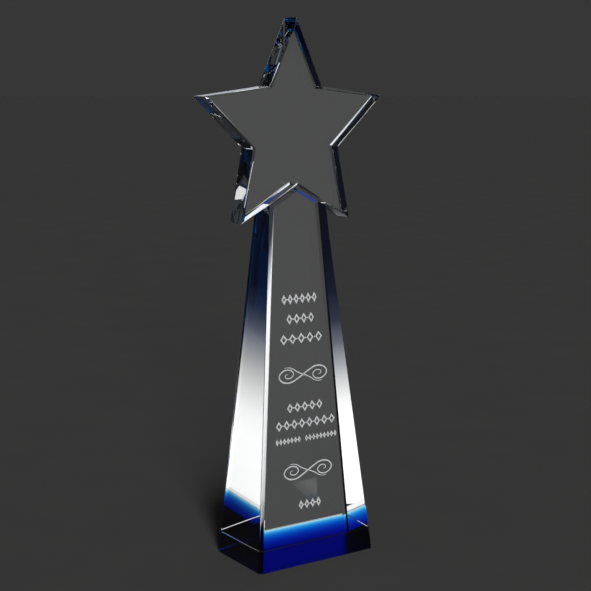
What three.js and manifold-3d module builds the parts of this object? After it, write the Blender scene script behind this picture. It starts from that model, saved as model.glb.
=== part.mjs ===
// Crystal star award: a flat five-point star bonded to the roof of a tapered tower,
// which is bonded to a slab of blue crystal. Millimetres, +Z up. The origin is the
// centre of the face that the award stands on, and the front faces -Y.

import * as THREE from "three";
import { mergeVertices } from "three/addons/utils/BufferGeometryUtils.js";
import Module from "manifold-3d";

const wasm = await Module();
wasm.setup();

// ---- Driving dimensions ----

const STAR_RADIUS = 62; // centre to each tip
const STAR_NOTCH_SHARE = 0.485; // notch radius as a share of the tip radius
const STAR_THICKNESS = 14;
const STAR_CHAMFER = 1.2;
const STAR_POINTS = 5;

const BASE_WIDTH = 78.6; // whole block, measured on the face that it stands on
const BASE_DEPTH = 46.6;
const SHOULDER_WIDTH = 38; // where the straight sides end and the roof starts
const SHOULDER_DEPTH = 18.4;
const SHOULDER_HEIGHT = 202;
const SHOULDER_SET_BACK = 4.7; // the front leans back more than the rear leans forward
const TOWER_CHAMFER = 1.8; // along every long edge and round the roof
const BLUE_HEIGHT = 12;

const JOINT = 0.3; // space between two bonded faces
const FILM = 0.2; // thickness of the cured adhesive in it
const FILM_INSET = 0.75; // the roof film stops this far inside the tower's sides

const CUT_MARGIN = 20; // how far a cutting box runs past the material

// ---- Worked out from them ----

const notchRadius = STAR_RADIUS * STAR_NOTCH_SHARE;
const tipAngle = Math.PI / STAR_POINTS;
// Height lost per millimetre sideways along the two edges that meet in the lowest notch.
// The tower's roof has the same slope, so that the star sits on it.
const roofSlope =
  (STAR_RADIUS * Math.cos(tipAngle) - notchRadius) / (STAR_RADIUS * Math.sin(tipAngle));
const ridgeHeight = SHOULDER_HEIGHT + (roofSlope * SHOULDER_WIDTH) / 2;
const uprightShare = Math.hypot(1, roofSlope); // a thickness across the roof, measured upright
const starHeight = ridgeHeight + JOINT * uprightShare + notchRadius; // of the star's centre
const filmGap = (JOINT - FILM) / 2; // left open on each side of a film
const filmReach = SHOULDER_WIDTH / 2 - FILM_INSET; // of the roof film, to each side

// The tapered block's faces, as functions of height above the floor.
const between = (low, high, z) => low + ((high - low) * z) / SHOULDER_HEIGHT;
const halfWidth = (z) => between(BASE_WIDTH / 2, SHOULDER_WIDTH / 2, z);
const frontY = (z) => between(-BASE_DEPTH / 2, SHOULDER_SET_BACK - SHOULDER_DEPTH / 2, z);
const rearY = (z) => between(BASE_DEPTH / 2, SHOULDER_SET_BACK + SHOULDER_DEPTH / 2, z);
const ridgeY = (frontY(ridgeHeight) + rearY(ridgeHeight)) / 2;

// ---- Geometry helpers ----

// A closed outline in the XZ plane, from a list of [x, z].
function outline(points) {
  return new THREE.Shape(points.map(([x, z]) => new THREE.Vector2(x, z)));
}

// An outline extruded along Y, from the plane y = 0 back to y = depth. The chamfer is cut
// inside the outline, all round both faces.
function extrudeAlongY(shape, depth, chamfer = 0) {
  const geometry = new THREE.ExtrudeGeometry(shape, {
    depth: depth - 2 * chamfer,
    steps: 1,
    bevelEnabled: chamfer > 0,
    bevelThickness: chamfer,
    bevelSize: chamfer,
    bevelOffset: -chamfer,
    bevelSegments: 1,
  });
  geometry.rotateX(Math.PI / 2);
  geometry.translate(0, depth - chamfer, 0);
  return geometry;
}

// The same geometry as a manifold solid, ready for booleans.
function solid(geometry) {
  const bare = geometry.clone();
  bare.deleteAttribute("normal");
  bare.deleteAttribute("uv");
  const merged = mergeVertices(bare);
  return new wasm.Manifold(
    new wasm.Mesh({
      numProp: 3,
      vertProperties: new Float32Array(merged.attributes.position.array),
      triVerts: new Uint32Array(merged.index.array),
    }),
  );
}

// A manifold solid back as a geometry with flat, polished faces.
function fromSolid(body) {
  const mesh = body.getMesh();
  const geometry = new THREE.BufferGeometry();
  geometry.setAttribute("position", new THREE.BufferAttribute(mesh.vertProperties, 3));
  geometry.setIndex(new THREE.BufferAttribute(mesh.triVerts, 1));
  const flat = geometry.toNonIndexed();
  flat.computeVertexNormals();
  return flat;
}

// The part of a body that lies between two heights.
function slice(body, low, high) {
  const box = new THREE.BoxGeometry(
    BASE_WIDTH + 2 * CUT_MARGIN,
    BASE_DEPTH + 2 * CUT_MARGIN,
    high - low,
  );
  box.translate(0, 0, (low + high) / 2);
  return body.intersect(solid(box));
}

function mesh(name, geometry, look) {
  const part = new THREE.Mesh(geometry, new THREE.MeshStandardMaterial(look));
  part.name = name;
  return part;
}

// ---- Finishes ----

const clearCrystal = { color: 0xe9eef0, roughness: 0.02, metalness: 0, transparent: true, opacity: 0.35 };
const blueCrystal = { color: 0x06107a, roughness: 0.02, metalness: 0, transparent: true, opacity: 0.8 };
const curedAdhesive = { color: 0xf4f6f4, roughness: 0.05, metalness: 0, transparent: true, opacity: 0.3 };

// ---- The tapered block, which is sliced into tower, film and blue base ----

// Front elevation: straight sides up to the shoulders, then the roof. It runs on below the
// floor, so that slicing it there leaves no chamfer on the standing face.
function blockOutline() {
  const bottom = -CUT_MARGIN;
  return outline([
    [-halfWidth(bottom), bottom],
    [halfWidth(bottom), bottom],
    [SHOULDER_WIDTH / 2, SHOULDER_HEIGHT],
    [0, ridgeHeight],
    [-SHOULDER_WIDTH / 2, SHOULDER_HEIGHT],
  ]);
}

// The outline extruded to BASE_DEPTH, with every point then moved in Y onto the leaning
// front or rear face that it belongs to. The chamfers keep their size.
function taperedBlock() {
  const geometry = extrudeAlongY(blockOutline(), BASE_DEPTH, TOWER_CHAMFER);
  const position = geometry.attributes.position;
  for (let i = 0; i < position.count; i += 1) {
    const y = position.getY(i);
    const z = position.getZ(i);
    const isFront = y < BASE_DEPTH / 2;
    position.setY(i, isFront ? frontY(z) + y : rearY(z) - (BASE_DEPTH - y));
  }
  return solid(geometry);
}

const block = taperedBlock();

function tower() {
  const body = slice(block, BLUE_HEIGHT + JOINT, ridgeHeight + CUT_MARGIN);
  return mesh("tower", fromSolid(body), clearCrystal);
}

function baseAdhesive() {
  const low = BLUE_HEIGHT + filmGap;
  const body = slice(block, low, low + FILM);
  return mesh("base_adhesive", fromSolid(body), curedAdhesive);
}

function blueBase() {
  const body = slice(block, 0, BLUE_HEIGHT);
  return mesh("blue_base", fromSolid(body), blueCrystal);
}

// ---- The star and the film that holds it ----

// Tips and notches in turn, clockwise from the top tip. On either side of the lowest notch
// there is one more point, where the adhesive ends, so that the bonded stretch of the
// star's edge has faces of its own.
function starOutline() {
  const points = [];
  const bondEnd = (side) => [side * filmReach, -notchRadius - roofSlope * filmReach];
  for (let i = 0; i < 2 * STAR_POINTS; i += 1) {
    const radius = i % 2 === 0 ? STAR_RADIUS : notchRadius;
    const angle = Math.PI / 2 - i * tipAngle;
    const corner = [radius * Math.cos(angle), radius * Math.sin(angle)];
    const isLowestNotch = i === STAR_POINTS;
    points.push(...(isLowestNotch ? [bondEnd(1), corner, bondEnd(-1)] : [corner]));
  }
  return outline(points);
}

function star() {
  const geometry = extrudeAlongY(starOutline(), STAR_THICKNESS, STAR_CHAMFER);
  const part = mesh("star", geometry, clearCrystal);
  part.position.set(0, ridgeY - STAR_THICKNESS / 2, starHeight);
  return part;
}

// A bent strip between the roof and the star's lowest notch, as deep as the flat part of
// the roof's ridge.
function starAdhesive() {
  const rise = FILM * uprightShare;
  const drop = roofSlope * filmReach;
  const depth = rearY(ridgeHeight) - frontY(ridgeHeight) - 2 * TOWER_CHAMFER;
  const shape = outline([
    [-filmReach, -drop],
    [0, 0],
    [filmReach, -drop],
    [filmReach, rise - drop],
    [0, rise],
    [-filmReach, rise - drop],
  ]);
  const part = mesh("star_adhesive", extrudeAlongY(shape, depth), curedAdhesive);
  part.position.set(0, ridgeY - depth / 2, ridgeHeight + filmGap * uprightShare);
  return part;
}

// ---- The award ----

const award = new THREE.Group();
award.add(blueBase(), baseAdhesive(), tower(), starAdhesive(), star());

export default award;
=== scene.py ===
"""Crystal star award on a plain pale floor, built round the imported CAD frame.

Units are metres, +Z is up, and the engraved front faces -Y. An azimuth is the direction of a
place seen from the award: 0 is in front (-Y), 90 is to the right (+X), 180 is behind.
"""

import math
from operator import attrgetter

import bmesh
import bpy
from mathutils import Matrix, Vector


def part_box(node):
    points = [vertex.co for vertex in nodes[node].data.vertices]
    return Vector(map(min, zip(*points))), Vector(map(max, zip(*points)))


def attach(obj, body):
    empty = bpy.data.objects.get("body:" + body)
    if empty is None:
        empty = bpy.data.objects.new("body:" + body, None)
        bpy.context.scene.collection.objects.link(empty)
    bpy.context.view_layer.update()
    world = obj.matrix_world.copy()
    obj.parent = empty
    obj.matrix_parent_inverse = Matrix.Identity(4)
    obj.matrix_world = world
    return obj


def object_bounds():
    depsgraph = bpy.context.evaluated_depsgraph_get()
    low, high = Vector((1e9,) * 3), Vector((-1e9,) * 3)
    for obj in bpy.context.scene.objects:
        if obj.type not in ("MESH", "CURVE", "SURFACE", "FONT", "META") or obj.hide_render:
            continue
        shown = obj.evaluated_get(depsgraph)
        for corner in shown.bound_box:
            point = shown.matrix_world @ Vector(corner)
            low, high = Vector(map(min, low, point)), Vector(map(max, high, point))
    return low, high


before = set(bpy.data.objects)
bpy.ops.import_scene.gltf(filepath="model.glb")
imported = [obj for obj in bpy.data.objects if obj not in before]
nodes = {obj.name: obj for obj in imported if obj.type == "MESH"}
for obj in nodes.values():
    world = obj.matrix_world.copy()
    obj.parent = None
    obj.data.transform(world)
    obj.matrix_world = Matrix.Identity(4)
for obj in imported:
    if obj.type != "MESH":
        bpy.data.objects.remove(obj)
cad_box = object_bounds()
MM = 0.001

# ---- Camera ----

CAMERA_AZIMUTH = -34.03
CAMERA_ELEVATION = 9.03
CAMERA_DISTANCE = 0.752
CAMERA_TARGET_SHARE = 0.4926  # of the award's height
CAMERA_LENS = 80.85
CAMERA_SENSOR = 36.0


def direction(azimuth, elevation=0.0):
    """Unit vector from the award towards an azimuth and elevation in degrees."""
    a = math.radians(azimuth)
    e = math.radians(elevation)
    return Vector((math.sin(a) * math.cos(e), -math.cos(a) * math.cos(e), math.sin(e)))


def link(obj):
    bpy.context.scene.collection.objects.link(obj)
    return obj


def aim(obj, place, target):
    """Puts an object at a place, with its -Z axis towards the target."""
    obj.location = place
    obj.rotation_euler = (Vector(target) - Vector(place)).to_track_quat("-Z", "Y").to_euler()


def make_camera():
    data = bpy.data.cameras.new("camera")
    data.sensor_width = CAMERA_SENSOR
    data.lens = CAMERA_LENS
    data.clip_start = 0.01
    data.clip_end = 50.0
    camera = link(bpy.data.objects.new("camera", data))
    target = Vector((0.0, 0.0, CAMERA_TARGET_SHARE * cad_box[1].z))
    aim(camera, target + CAMERA_DISTANCE * direction(CAMERA_AZIMUTH, CAMERA_ELEVATION), target)
    bpy.context.scene.camera = camera


make_camera()

# ---- Node helpers ----


class Graph:
    """A material's or world's node tree, emptied and ready to be built."""

    def __init__(self, owner):
        owner.use_nodes = True
        self.tree = owner.node_tree
        self.tree.nodes.clear()

    def node(self, kind, **values):
        made = self.tree.nodes.new(kind)
        for name, value in values.items():
            setattr(made, name, value)
        return made

    def join(self, output, target):
        self.tree.links.new(output, target)

    def put(self, value, target):
        """Sets a socket to a number or colour, or links an output to it."""
        if isinstance(value, bpy.types.NodeSocket):
            self.join(value, target)
        else:
            target.default_value = value

    def math(self, operation, a, b=0.0):
        made = self.node("ShaderNodeMath", operation=operation)
        self.put(a, made.inputs[0])
        self.put(b, made.inputs[1])
        return made.outputs[0]

    def place(self):
        """The object's own coordinates, in metres. The award's pieces have the award's frame."""
        return self.node("ShaderNodeTexCoord").outputs["Object"]

    def split(self, vector):
        """The X, Y and Z outputs of a vector."""
        made = self.node("ShaderNodeSeparateXYZ")
        self.join(vector, made.inputs[0])
        return made.outputs

    def noise(self, size, detail=3.0, roughness=0.5):
        """Noise with features about this many metres across."""
        made = self.node("ShaderNodeTexNoise")
        self.join(self.place(), made.inputs["Vector"])
        made.inputs["Scale"].default_value = 1.0 / size
        made.inputs["Detail"].default_value = detail
        made.inputs["Roughness"].default_value = roughness
        return made.outputs["Fac"]

    def rescale(self, value, low, high, to_low, to_high, smooth=False):
        """Maps low..high to to_low..to_high, clamped."""
        made = self.node("ShaderNodeMapRange")
        made.interpolation_type = "SMOOTHSTEP" if smooth else "LINEAR"
        self.put(value, made.inputs["Value"])
        for name, number in (
            ("From Min", low),
            ("From Max", high),
            ("To Min", to_low),
            ("To Max", to_high),
        ):
            made.inputs[name].default_value = number
        return made.outputs["Result"]

    def ramp(self, value, stops):
        """A colour ramp over (position, grey or colour) stops."""
        made = self.node("ShaderNodeValToRGB")
        self.join(value, made.inputs["Fac"])
        elements = made.color_ramp.elements
        while len(elements) < len(stops):
            elements.new(0.5)
        for element, (position, tone) in zip(elements, stops):
            element.position = position
            colour = tone if isinstance(tone, tuple) else (tone, tone, tone)
            element.color = (*colour, 1.0)
        return made.outputs["Color"]

    def bump(self, height, distance, strength):
        made = self.node("ShaderNodeBump")
        self.join(height, made.inputs["Height"])
        made.inputs["Distance"].default_value = distance
        made.inputs["Strength"].default_value = strength
        return made.outputs["Normal"]

    def finish(self, shader, volume=None):
        output = self.node("ShaderNodeOutputMaterial")
        self.join(shader, output.inputs["Surface"])
        if volume is not None:
            self.join(volume, output.inputs["Volume"])


# ---- Materials of the award ----

CRYSTAL_IOR = 1.52
CRYSTAL_TINT = (0.985, 0.993, 0.996, 1.0)
BLUE_ABSORPTION = (0.0, 0.66, 0.91, 1.0)  # share of each colour that passes
BLUE_DENSITY = 420.0
BOND_MARGIN = 0.02 * MM


def crystal_shader(g):
    """Polished crystal: faint smears in the polish and a hardly visible waviness."""
    smears = g.rescale(g.noise(0.03, 4.0, 0.6), 0.55, 0.8, 0.0, 0.015)
    wheel = g.noise(0.05, 1.0, 0.4)
    shader = g.node("ShaderNodeBsdfPrincipled")
    shader.inputs["Base Color"].default_value = CRYSTAL_TINT
    shader.inputs["IOR"].default_value = CRYSTAL_IOR
    shader.inputs["Transmission Weight"].default_value = 1.0
    g.join(smears, shader.inputs["Roughness"])
    g.join(g.bump(wheel, 0.000002, 0.2), shader.inputs["Normal"])
    return shader


def clear_finish(name):
    """Clear polished crystal."""
    material = bpy.data.materials.new(name)
    g = Graph(material)
    g.finish(crystal_shader(g).outputs[0])
    return material


def blue_finish(name, bonded_height):
    """Blue crystal, coloured all through. Light passes straight through its bonded top face."""
    material = bpy.data.materials.new(name)
    g = Graph(material)
    shader = crystal_shader(g)
    below = g.math("LESS_THAN", g.split(g.place())["Z"], bonded_height - BOND_MARGIN)
    g.join(below, shader.inputs["Alpha"])
    absorber = g.node("ShaderNodeVolumeAbsorption")
    absorber.inputs["Color"].default_value = BLUE_ABSORPTION
    absorber.inputs["Density"].default_value = BLUE_DENSITY
    g.finish(shader.outputs[0], absorber.outputs[0])
    return material


def bonded_face(name):
    """A face wetted by adhesive: light goes straight on into the next piece."""
    material = bpy.data.materials.new(name)
    g = Graph(material)
    clear = g.node("ShaderNodeBsdfTransparent")
    g.finish(clear.outputs[0])
    return material


def frosted_crystal(name):
    """Sand-blasted crystal: matt white with a fine grain and slightly uneven depth."""
    material = bpy.data.materials.new(name)
    g = Graph(material)
    grain = g.noise(0.00015, 2.0, 0.6)
    patches = g.noise(0.004, 3.0, 0.5)
    shade = g.math("ADD", g.math("MULTIPLY", grain, 0.35), g.math("MULTIPLY", patches, 0.65))
    colour = g.ramp(shade, [(0.3, (0.80, 0.82, 0.84)), (0.6, (0.95, 0.96, 0.97))])
    shader = g.node("ShaderNodeBsdfPrincipled")
    g.join(colour, shader.inputs["Base Color"])
    shader.inputs["IOR"].default_value = CRYSTAL_IOR
    g.join(g.rescale(grain, 0.3, 0.7, 0.55, 0.75), shader.inputs["Roughness"])
    g.join(g.bump(grain, 0.00003, 0.5), shader.inputs["Normal"])
    g.finish(shader.outputs[0])
    return material


clear_crystal = clear_finish("clear_crystal")
blue_crystal = blue_finish("blue_crystal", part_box("blue_base")[1].z)
cured_adhesive = clear_finish("cured_adhesive")
bonded = bonded_face("bonded_face")
frosted = frosted_crystal("frosted_crystal")

# ---- The CAD nodes: finishes, bonded faces and ground arrises ----

ARRIS = 0.2 * MM  # the sharp edges between polished faces are just broken
SAME_PLACE = 0.001 * MM
FLAT = math.radians(1.0)
STAR_BOND_HALF_WIDTH = 18 * MM


def is_bonded_on_tower(face):
    return face.normal.z < -0.99 or face.normal.z > 0.5


def is_bonded_on_base(face):
    """Never: the blue crystal's own finish opens its top face, so that it stays one volume."""
    return False


def is_bonded_on_star(face):
    near_middle = abs(face.center.x) < STAR_BOND_HALF_WIDTH
    return near_middle and face.normal.z < -0.8 and abs(face.normal.y) < 0.1


def is_bonded_on_film(face):
    return abs(face.normal.z) > 0.5


def finish_node(name, material, is_bonded, arris):
    """Gives a CAD node its crystal, with the bonded faces apart, and breaks its edges."""
    obj = nodes[name]
    mesh = obj.data
    mesh.materials.clear()
    mesh.materials.append(material)
    mesh.materials.append(bonded)
    for face in mesh.polygons:
        face.material_index = 1 if is_bonded(face) else 0
        face.use_smooth = False
    weld = obj.modifiers.new("weld", "WELD")
    weld.merge_threshold = SAME_PLACE
    flatten = obj.modifiers.new("one_face_per_plane", "DECIMATE")
    flatten.decimate_type = "DISSOLVE"
    flatten.angle_limit = FLAT
    flatten.delimit = {"MATERIAL"}
    if arris > 0.0:
        bevel = obj.modifiers.new("arris", "BEVEL")
        bevel.width = arris
        bevel.segments = 1
        bevel.limit_method = "ANGLE"
        bevel.angle_limit = math.radians(8.0)
        bevel.material = 0
        bevel.use_clamp_overlap = True


finish_node("tower", clear_crystal, is_bonded_on_tower, ARRIS)
finish_node("blue_base", blue_crystal, is_bonded_on_base, ARRIS)
finish_node("star", clear_crystal, is_bonded_on_star, ARRIS)
finish_node("star_adhesive", cured_adhesive, is_bonded_on_film, 0.0)
finish_node("base_adhesive", cured_adhesive, is_bonded_on_film, 0.0)

# ---- Engraving on the tower's front ----

ENGRAVING_LOW = 0.01 * MM  # gap to the polished face
ENGRAVING_HIGH = 0.05 * MM
STROKE = 0.85 * MM
FINE_STROKE = 0.62 * MM
COLUMN_CENTRE = -3.8 * MM  # the column of engraving stands a little left of the face's middle

# Rows of lozenges: (height of the row's middle above the floor, row height, widths and gaps).
HEADING_ROWS = [
    (150.1 * MM, 5.8 * MM, 24.5 * MM, [6]),
    (139.0 * MM, 5.8 * MM, 19.5 * MM, [4]),
    (127.9 * MM, 5.8 * MM, 29.5 * MM, [5]),
]
DEDICATION_ROWS = [
    (89.5 * MM, 5.6 * MM, 25.0 * MM, [5]),
    (80.2 * MM, 5.6 * MM, 41.0 * MM, [8]),
    (71.4 * MM, 3.8 * MM, 42.0 * MM, [7, 9]),
]
DATE_ROWS = [(34.2 * MM, 5.4 * MM, 16.0 * MM, [4])]
SCROLL_STROKE = 0.8 * MM
SCROLL_WIDTH = 32.6 * MM
SCROLL_HEIGHT = 8.8 * MM
SCROLL_UPPER = 107.6 * MM
SCROLL_LOWER = 53.3 * MM


def front_plane():
    """A point on the tower's front face, the direction up the face, and its outward normal."""
    tower = nodes["tower"].data
    front = max(tower.polygons, key=lambda face: face.area * (face.normal.y < -0.9))
    normal = front.normal.normalized()
    across = Vector((1.0, 0.0, 0.0))
    return front.center.copy(), normal.cross(across).normalized(), normal


FACE_POINT, FACE_UP, FACE_NORMAL = front_plane()
if FACE_UP.z < 0.0:
    FACE_UP.negate()


def on_face(x, z, lift):
    """The point at x and height z on the front face, lifted off it."""
    rise = (z - FACE_POINT.z) / FACE_UP.z
    base = Vector((x, FACE_POINT.y, FACE_POINT.z)) + rise * FACE_UP
    return base + lift * FACE_NORMAL


def add_plate(bm, left, right, closed):
    """A thin raised plate between two lines of (x, z) points on the face."""
    rings = []
    for lift in (ENGRAVING_LOW, ENGRAVING_HIGH):
        rings.append([bm.verts.new(on_face(x, z, lift)) for x, z in left])
        rings.append([bm.verts.new(on_face(x, z, lift)) for x, z in right])
    low_left, low_right, high_left, high_right = rings
    count = len(left)
    steps = range(count if closed else count - 1)
    for i in steps:
        j = (i + 1) % count
        bm.faces.new((high_left[i], high_left[j], high_right[j], high_right[i]))
        bm.faces.new((low_left[j], low_left[i], low_right[i], low_right[j]))
        bm.faces.new((low_left[i], low_left[j], high_left[j], high_left[i]))
        bm.faces.new((low_right[j], low_right[i], high_right[i], high_right[j]))
    if not closed:
        bm.faces.new((low_left[0], high_left[0], high_right[0], low_right[0]))
        bm.faces.new((low_left[-1], low_right[-1], high_right[-1], high_left[-1]))


def add_stroke(bm, points, widths):
    """A stroke along (x, z) points, as wide at each point as widths says."""
    left = []
    right = []
    for i, (x, z) in enumerate(points):
        before = points[max(i - 1, 0)]
        after = points[min(i + 1, len(points) - 1)]
        along = Vector((after[0] - before[0], after[1] - before[1])).normalized()
        half = widths[i] / 2
        left.append((x - along.y * half, z + along.x * half))
        right.append((x + along.y * half, z - along.x * half))
    add_plate(bm, left, right, closed=False)


def add_ring(bm, centre, outer, inner, corners, turn=0.0):
    """A closed outline with corners or round, between two half sizes (x, z)."""
    lines = []
    for half_x, half_z in (outer, inner):
        line = []
        for i in range(corners):
            angle = turn + 2 * math.pi * i / corners
            line.append((centre[0] + half_x * math.cos(angle), centre[1] + half_z * math.sin(angle)))
        lines.append(line)
    add_plate(bm, lines[0], lines[1], closed=True)


def add_row(bm, middle, height, width, groups):
    """One engraved row: outlined lozenges with a dot between each two, and a gap between groups."""
    stroke = STROKE if height > 5 * MM else FINE_STROKE
    cells = sum(groups) + len(groups) - 1
    pitch = width / cells
    half_x = 0.40 * pitch
    half_z = height / 2
    slant = stroke * math.hypot(half_x, half_z)
    inner = (half_x - slant / half_z, half_z - slant / half_x)
    cell = 0
    for group in groups:
        for i in range(group):
            x = COLUMN_CENTRE + (cell + 0.5 - cells / 2) * pitch
            add_ring(bm, (x, middle), (half_x, half_z), inner, 4)
            if i < group - 1:
                dot = 0.5 * stroke
                add_ring(bm, (x + pitch / 2, middle), (dot, dot), (0.1 * dot, 0.1 * dot), 12)
            cell += 1
        cell += 1


# Right half of the flourish, from its middle outwards: x as a share of half the width, z as a
# share of half the height. The left half is the same turned half round.
LOOP = [
    (0.0, 0.0),
    (0.22, 0.42),
    (0.50, 0.84),
    (0.78, 0.80),
    (0.97, 0.30),
    (0.95, -0.34),
    (0.74, -0.78),
    (0.50, -0.66),
    (0.40, -0.14),
    (0.52, 0.30),
    (0.70, 0.26),
    (0.74, -0.10),
    (0.64, -0.24),
]
SWASH = [(0.0, 0.0), (0.24, -0.40), (0.44, -0.88), (0.60, -1.06), (0.76, -1.04)]


def smooth_line(points, steps=10):
    """A Catmull-Rom curve through the points."""
    made = []
    for i in range(len(points) - 1):
        p0 = Vector(points[max(i - 1, 0)])
        p1 = Vector(points[i])
        p2 = Vector(points[i + 1])
        p3 = Vector(points[min(i + 2, len(points) - 1)])
        for k in range(steps):
            t = k / steps
            made.append(
                0.5
                * (
                    2 * p1
                    + (p2 - p0) * t
                    + (2 * p0 - 5 * p1 + 4 * p2 - p3) * t**2
                    + (3 * p1 - p0 - 3 * p2 + p3) * t**3
                )
            )
    made.append(Vector(points[-1]))
    return made


def add_scroll(bm, middle):
    """A flourish of two loops with curled ends, crossed by a thinner swash."""
    for half, weight in ((LOOP, 1.0), (SWASH, 0.75)):
        mirrored = [(-x, -z) for x, z in reversed(half[1:])]
        line = smooth_line(mirrored + half)
        points = []
        widths = []
        for i, share in enumerate(line):
            t = i / (len(line) - 1)
            x = COLUMN_CENTRE + share.x * SCROLL_WIDTH / 2
            points.append((x, middle + share.y * SCROLL_HEIGHT / 2))
            widths.append(weight * SCROLL_STROKE * (0.35 + 0.65 * math.sin(math.pi * t) ** 0.7))
        add_stroke(bm, points, widths)


def engraved_piece(name, draw):
    """A piece of engraving made by draw(bm), frosted and fixed to the tower."""
    bm = bmesh.new()
    draw(bm)
    bmesh.ops.recalc_face_normals(bm, faces=bm.faces)
    mesh = bpy.data.meshes.new(name)
    bm.to_mesh(mesh)
    bm.free()
    mesh.materials.append(frosted)
    piece = link(bpy.data.objects.new(name, mesh))
    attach(piece, "root")


def draw_rows(rows):
    def draw(bm):
        for middle, height, width, groups in rows:
            add_row(bm, middle, height, width, groups)

    return draw


engraved_piece("engraved_heading", draw_rows(HEADING_ROWS))
engraved_piece("engraved_dedication", draw_rows(DEDICATION_ROWS))
engraved_piece("engraved_date", draw_rows(DATE_ROWS))
engraved_piece("engraved_scroll_upper", lambda bm: add_scroll(bm, SCROLL_UPPER))
engraved_piece("engraved_scroll_lower", lambda bm: add_scroll(bm, SCROLL_LOWER))

# ---- Floor ----

FLOOR_RADIUS = 30.0
FLOOR_DROP = 0.2 * MM  # below the standing face, so that the two never coincide


def floor_material():
    """Plain pale board with a very fine tooth."""
    material = bpy.data.materials.new("pale_floor")
    g = Graph(material)
    tooth = g.noise(0.0012, 3.0, 0.6)
    mottle = g.noise(0.06, 4.0, 0.5)
    colour = g.ramp(mottle, [(0.3, (0.76, 0.76, 0.76)), (0.7, (0.80, 0.80, 0.79))])
    shader = g.node("ShaderNodeBsdfPrincipled")
    g.join(colour, shader.inputs["Base Color"])
    shader.inputs["Roughness"].default_value = 0.9
    shader.inputs["Specular IOR Level"].default_value = 0.0
    g.join(g.bump(tooth, 0.00005, 0.04), shader.inputs["Normal"])
    g.finish(shader.outputs[0])
    return material


def disc(name, radius, height, sides=128):
    bm = bmesh.new()
    bmesh.ops.create_circle(bm, cap_ends=True, segments=sides, radius=radius)
    mesh = bpy.data.meshes.new(name)
    bm.to_mesh(mesh)
    bm.free()
    obj = link(bpy.data.objects.new(name, mesh))
    obj.location.z = height
    return obj


floor = disc("floor", FLOOR_RADIUS, -FLOOR_DROP)
floor.data.materials.append(floor_material())

# ---- World ----

WORLD_HORIZON = 0.038
WORLD_ZENITH = 0.004


def make_world():
    world = bpy.data.worlds.new("studio")
    bpy.context.scene.world = world
    world.use_nodes = True
    g = Graph(world)
    rise = g.split(g.node("ShaderNodeTexCoord").outputs["Generated"])["Z"]
    tone = g.rescale(rise, 0.1, 0.5, WORLD_HORIZON, WORLD_ZENITH, smooth=True)
    background = g.node("ShaderNodeBackground")
    g.join(tone, background.inputs["Color"])
    output = g.node("ShaderNodeOutputWorld")
    g.join(background.outputs[0], output.inputs["Surface"])


make_world()

# ---- Lights ----


def distant_softbox(name, azimuth, elevation, irradiance, angle):
    """Even light from a large, far softbox. The polished faces show the cards and not this."""
    data = bpy.data.lights.new(name, "SUN")
    data.energy = irradiance
    data.angle = math.radians(angle)
    light = link(bpy.data.objects.new(name, data))
    aim(light, direction(azimuth, elevation), (0.0, 0.0, 0.0))
    light.visible_glossy = False
    light.visible_transmission = False


# The key stands so low that it makes the engraving white and leaves the floor dim.
distant_softbox("key_softbox", azimuth=-24.0, elevation=2.8, irradiance=2.3, angle=12.0)

# ---- Glowing cards, painted reflections: what the crystal shows in its side faces, bevels and blue base ----

# Floor cards lie between the standing face and the floor. Each has a height of its own, so
# that light goes on through the clear part of one to the next.
FIRST_CARD_HEIGHT = -0.04 * MM
CARD_STEP = 0.01 * MM
floor_cards = []

MANY = 99  # more reflections than light makes inside the crystal

WHITE = (1.0, 1.0, 1.0)
PALE_BLUE = (0.92, 0.96, 1.0)
STEEL_BLUE = (0.42, 0.66, 1.0)
DEEP_BLUE = (0.08, 0.19, 1.0)

# Shares of white along a floor card, painted light: a lit table that runs out into the dark, and the
# table beside the foot's right side with painted shade, darkest against the foot.
TABLE_REACH = 0.6
TABLE = [
    (0.0, 1.0),
    (0.20, 0.96),
    (0.28, 0.62),
    (0.35, (0.30, 0.31, 0.33)),
    (0.42, (0.105, 0.115, 0.145)),
    (0.50, (0.022, 0.026, 0.045)),
    (0.62, (0.004, 0.006, 0.017)),
    (0.8, (0.0, 0.0005, 0.006)),
]
BESIDE_REACH = 0.026
BESIDE = [(0.0, 0.42), (0.2, 0.6), (0.35, 1.0)]

# Shares of white up the card beside the tower, over this height: painted light, white at the foot
# and darker towards the top.
SIDE_HEIGHT = 0.2
SIDE = [
    (0.0, 1.0),
    (0.26, 0.99),
    (0.33, 0.90),
    (0.395, 0.70),
    (0.465, 0.46),
    (0.503, (0.325, 0.33, 0.345)),
    (0.54, (0.218, 0.229, 0.256)),
    (0.575, (0.128, 0.139, 0.174)),
    (0.603, (0.067, 0.073, 0.105)),
    (0.637, (0.028, 0.037, 0.061)),
    (0.672, (0.009, 0.0144, 0.033)),
    (0.706, (0.0045, 0.007, 0.020)),
    (0.74, (0.0003, 0.0015, 0.010)),
    (1.0, (0.0, 0.001, 0.006)),
]


def even(g, distance):
    """One tone all along a card."""
    return (*WHITE, 1.0)


def lit_table(g, distance):
    return g.ramp(g.math("DIVIDE", distance, TABLE_REACH), TABLE)


def beside_foot(g, distance):
    return g.ramp(g.math("DIVIDE", distance, BESIDE_REACH), BESIDE)


def up_the_side(g, height):
    return g.ramp(g.math("DIVIDE", height, SIDE_HEIGHT), SIDE)


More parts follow.
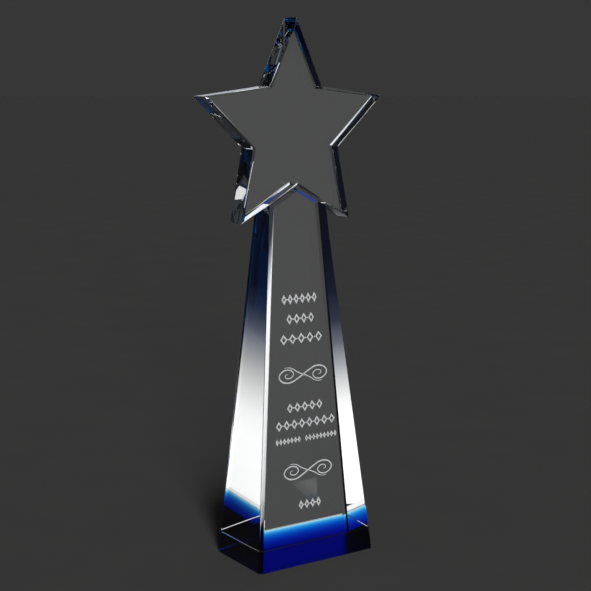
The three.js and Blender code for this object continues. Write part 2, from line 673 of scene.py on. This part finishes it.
def emission_card(name, corners, tone_of, glossy=False, transmission=True):
    """A glowing card that lights nothing and that only the crystal sees: painted light in its
    reflections and in what it refracts.

    tone_of(graph) gives its colour, strength and cover.
    """
    mesh = bpy.data.meshes.new(name)
    mesh.from_pydata([Vector(c) for c in corners], [], [(0, 1, 2, 3)])
    material = bpy.data.materials.new(name)
    g = Graph(material)
    colour, strength, cover = tone_of(g)
    glow = g.node("ShaderNodeEmission")
    g.put(colour, glow.inputs["Color"])
    glow.inputs["Strength"].default_value = strength
    clear = g.node("ShaderNodeBsdfTransparent")
    mixed = g.node("ShaderNodeMixShader")
    g.put(cover, mixed.inputs["Fac"])
    g.join(clear.outputs[0], mixed.inputs[1])
    g.join(glow.outputs[0], mixed.inputs[2])
    g.finish(mixed.outputs[0])
    mesh.materials.append(material)
    card = link(bpy.data.objects.new(name, mesh))
    card.visible_camera = False
    card.visible_diffuse = False
    card.visible_shadow = False
    card.visible_volume_scatter = False
    card.visible_glossy = glossy
    card.visible_transmission = transmission
    return card


def soft_sides(g, across, half_width, softness):
    """Cover that fades out towards both long sides of a card."""
    distance = g.math("ABSOLUTE", across)
    return g.rescale(distance, half_width - softness, half_width, 1.0, 0.0, smooth=True)


def within_bounces(g, least, most):
    """Cover for light that the crystal's inside has reflected at least and at most so often."""
    bounces = g.node("ShaderNodeLightPath").outputs["Glossy Depth"]
    enough = g.math("GREATER_THAN", bounces, least - 0.5)
    few = g.math("LESS_THAN", bounces, most + 0.5)
    return g.math("MULTIPLY", enough, few)


def floor_wedge(
    name,
    start,
    azimuth,
    length,
    half_widths,
    tone=even,
    gain=1.0,
    soft=0.35,
    bounces=(1, MANY),
):
    """A card lying on the floor from start outwards, with soft sides. Its own X runs along it.

    half_widths are those at its start and its end, and soft is the share of them that fades.
    tone gives its tone along it. Only light that the crystal's inside has reflected a number
    of times within bounces shows it.
    """
    near, far = half_widths

    def tone_of(g):
        place = g.split(g.place())
        half = g.rescale(place["X"], 0.0, length, near, far)
        across = g.math("DIVIDE", place["Y"], half)
        cover = g.math("MULTIPLY", soft_sides(g, across, 1.0, soft), within_bounces(g, *bounces))
        return tone(g, place["X"]), gain, cover

    corners = [(0.0, -near, 0.0), (length, -far, 0.0), (length, far, 0.0), (0.0, near, 0.0)]
    card = emission_card(name, corners, tone_of)
    outward = direction(azimuth)
    card.location = (start[0], start[1], FIRST_CARD_HEIGHT - CARD_STEP * len(floor_cards))
    card.rotation_euler.z = math.atan2(outward.y, outward.x)
    floor_cards.append(card)


STANDING_SOFTNESS = 0.25  # share of an upright card's half size over which it fades


def standing_card(
    name, azimuth, distance, height, size, colour, gain, bounces=(0, MANY), **seen
):
    """An upright card facing the award, its middle at a height above the floor."""
    half_x, half_y = size[0] / 2, size[1] / 2

    def tone_of(g):
        place = g.split(g.place())
        cover = within_bounces(g, *bounces)
        for axis, half in (("X", half_x), ("Y", half_y)):
            edge = soft_sides(g, place[axis], half, STANDING_SOFTNESS * half)
            cover = g.math("MULTIPLY", cover, edge)
        return (*colour, 1.0), gain, cover

    corners = [
        (-half_x, -half_y, 0.0),
        (half_x, -half_y, 0.0),
        (half_x, half_y, 0.0),
        (-half_x, half_y, 0.0),
    ]
    card = emission_card(name, corners, tone_of, **seen)
    target = Vector((0.0, 0.0, height))
    aim(card, target + distance * direction(azimuth), target)


SIDE_HEIGHT = 0.2
SIDE_GAP = 1.0 * MM
SIDE_MARGIN = 2.6 * MM  # past the side face's long edges, about as far as the chamfers reach


def leaning_card(name, tone, gain):
    """A card close beside the tower's right side face, from the foot up.

    tone gives its tone by height. Light shows it after one reflection inside the crystal.
    """
    tower = nodes["tower"].data
    corners = []
    side_faces = [face for face in tower.polygons if face.normal.x > 0.9]
    side_points = [tower.vertices[i].co for face in side_faces for i in face.vertices]
    middle = sum(point.z for point in side_points) / len(side_points)
    by_depth = attrgetter("y")
    for pick, outwards in ((min, -1.0), (max, 1.0)):
        low = pick((point for point in side_points if point.z < middle), key=by_depth)
        high = pick((point for point in side_points if point.z > middle), key=by_depth)
        slope = (high - low) / (high.z - low.z)
        shift = Vector((SIDE_GAP, outwards * SIDE_MARGIN, 0.0))
        for height in (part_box("tower")[0].z, SIDE_HEIGHT):
            corners.append(low + slope * (height - low.z) + shift)
    front_low, front_high, rear_low, rear_high = corners

    def tone_of(g):
        return tone(g, g.split(g.place())["Z"]), gain, within_bounces(g, 1, 1)

    emission_card(name, (front_low, rear_low, rear_high, front_high), tone_of)


foot_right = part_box("blue_base")[1].x
foot_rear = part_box("blue_base")[1].y

# Painted blue light in the foot: a glowing card standing for a lit strip of table just behind the
# slab, and a dim one under it.
STRIP = 11.3 * MM  # half of the lit strip's width
floor_wedge(
    "card_behind_foot",
    (-0.026, foot_rear + STRIP),
    90.0,
    0.080,
    (STRIP, STRIP),
    gain=1.03,
    soft=0.12,
    bounces=(0, MANY),
)
floor_wedge(
    "card_under_foot", (-0.036, 0.0), 90.0, 0.072, (0.020, 0.020), gain=0.276, bounces=(7, MANY)
)
# Left side face: glowing cards on the right with painted light, seen through the tower and the foot.
leaning_card("card_right_side", up_the_side, gain=1.35)
floor_wedge(
    "card_beside_foot",
    (foot_right, -0.019),
    90.0,
    BESIDE_REACH,
    (0.031, 0.031),
    beside_foot,
    gain=1.2,
    soft=0.1,
)
# Right side face, seen through the front: painted light of the lit table behind on the left, on a
# glowing card.
floor_wedge(
    "card_rear_left",
    (0.0135, foot_rear + 2 * STRIP - 2 * MM),
    -144.5,
    1.3,
    (0.012, 0.36),
    lit_table,
    gain=1.35,
    soft=0.3,
    bounces=(1, 1),
)
# Painted light in the bevel at the rear left.
floor_wedge("card_right", (0.060, -0.022), 65.0, 0.8, (0.014, 0.05), lit_table)
# Painted light in the bevel at the front left.
floor_wedge(
    "card_right_rear", (0.026, 0.026), 107.0, 1.6, (0.0085, 0.11), gain=1.29, bounces=(0, MANY)
)
# What shows straight through the flat fronts: painted light, a dim glowing card where the table
# behind would be, and a dim card above it.
STRAIGHT_TONE = 0.0735
floor_wedge(
    "card_straight_low",
    (0.0, 0.040),
    145.0,
    3.0,
    (0.036, 1.5),
    gain=STRAIGHT_TONE,
    bounces=(0, 0),
)
standing_card(
    "card_straight_high", 145.0, 3.0, 0.25, (3.0, 0.9), WHITE, STRAIGHT_TONE, bounces=(0, 0)
)
# Painted highlights: small bright patches in the star's lower left arm and left tip.
floor_wedge(
    "card_patch_rear", (0.193, 0.339), 151.0, 0.04, (0.017, 0.017), gain=0.92, bounces=(2, MANY)
)
floor_wedge("card_patch_right", (0.26, 0.16), 122.0, 0.07, (0.03, 0.03), gain=0.92)
# Under them all a black card, painted shade, which keeps the small facets and the foot's sides dark.
floor_wedge(
    "painted_shade_floor", (0.0, -3.0), 180.0, 6.0, (3.0, 3.0), gain=0.0, soft=0.01, bounces=(2, MANY)
)
# Slab front and the gable's left side: a painted reflection of a rear softbox, on a glowing card
# that lights nothing.
standing_card("card_rear_high", 155.5, 1.5, 0.85, (0.95, 0.90), PALE_BLUE, 1.0, glossy=True)
# Painted blue light in the gable's right side.
standing_card("card_rear_blue", 158.0, 1.5, 0.074, (0.2, 0.12), DEEP_BLUE, 0.25)
# Painted blue light in the star's upper and lower left arms.
standing_card("card_left_blue", -61.0, 1.0, 0.34, (0.4, 0.3), STEEL_BLUE, 0.22, glossy=True)
standing_card("card_right_blue", 56.0, 1.0, 0.07, (0.16, 0.12), STEEL_BLUE, 0.2)
# A painted sheen over the fronts of the star and tower, which ends above the blue slab.
standing_card(
    "card_front_right", 34.0, 0.6, 0.165, (0.5, 0.30), WHITE, 0.12, glossy=True, transmission=False
)

# ---- Render settings that belong to the look ----

scene = bpy.context.scene
scene.view_settings.view_transform = "Standard"
scene.view_settings.look = "None"
scene.cycles.max_bounces = 40
scene.cycles.transmission_bounces = 32
scene.cycles.glossy_bounces = 32
scene.cycles.diffuse_bounces = 3
scene.cycles.transparent_max_bounces = 32
scene.cycles.caustics_reflective = False
scene.cycles.caustics_refractive = False
scene.cycles.use_denoising = True

for name in ("tower", "star", "star_adhesive", "base_adhesive"):
    nodes[name].visible_shadow = False
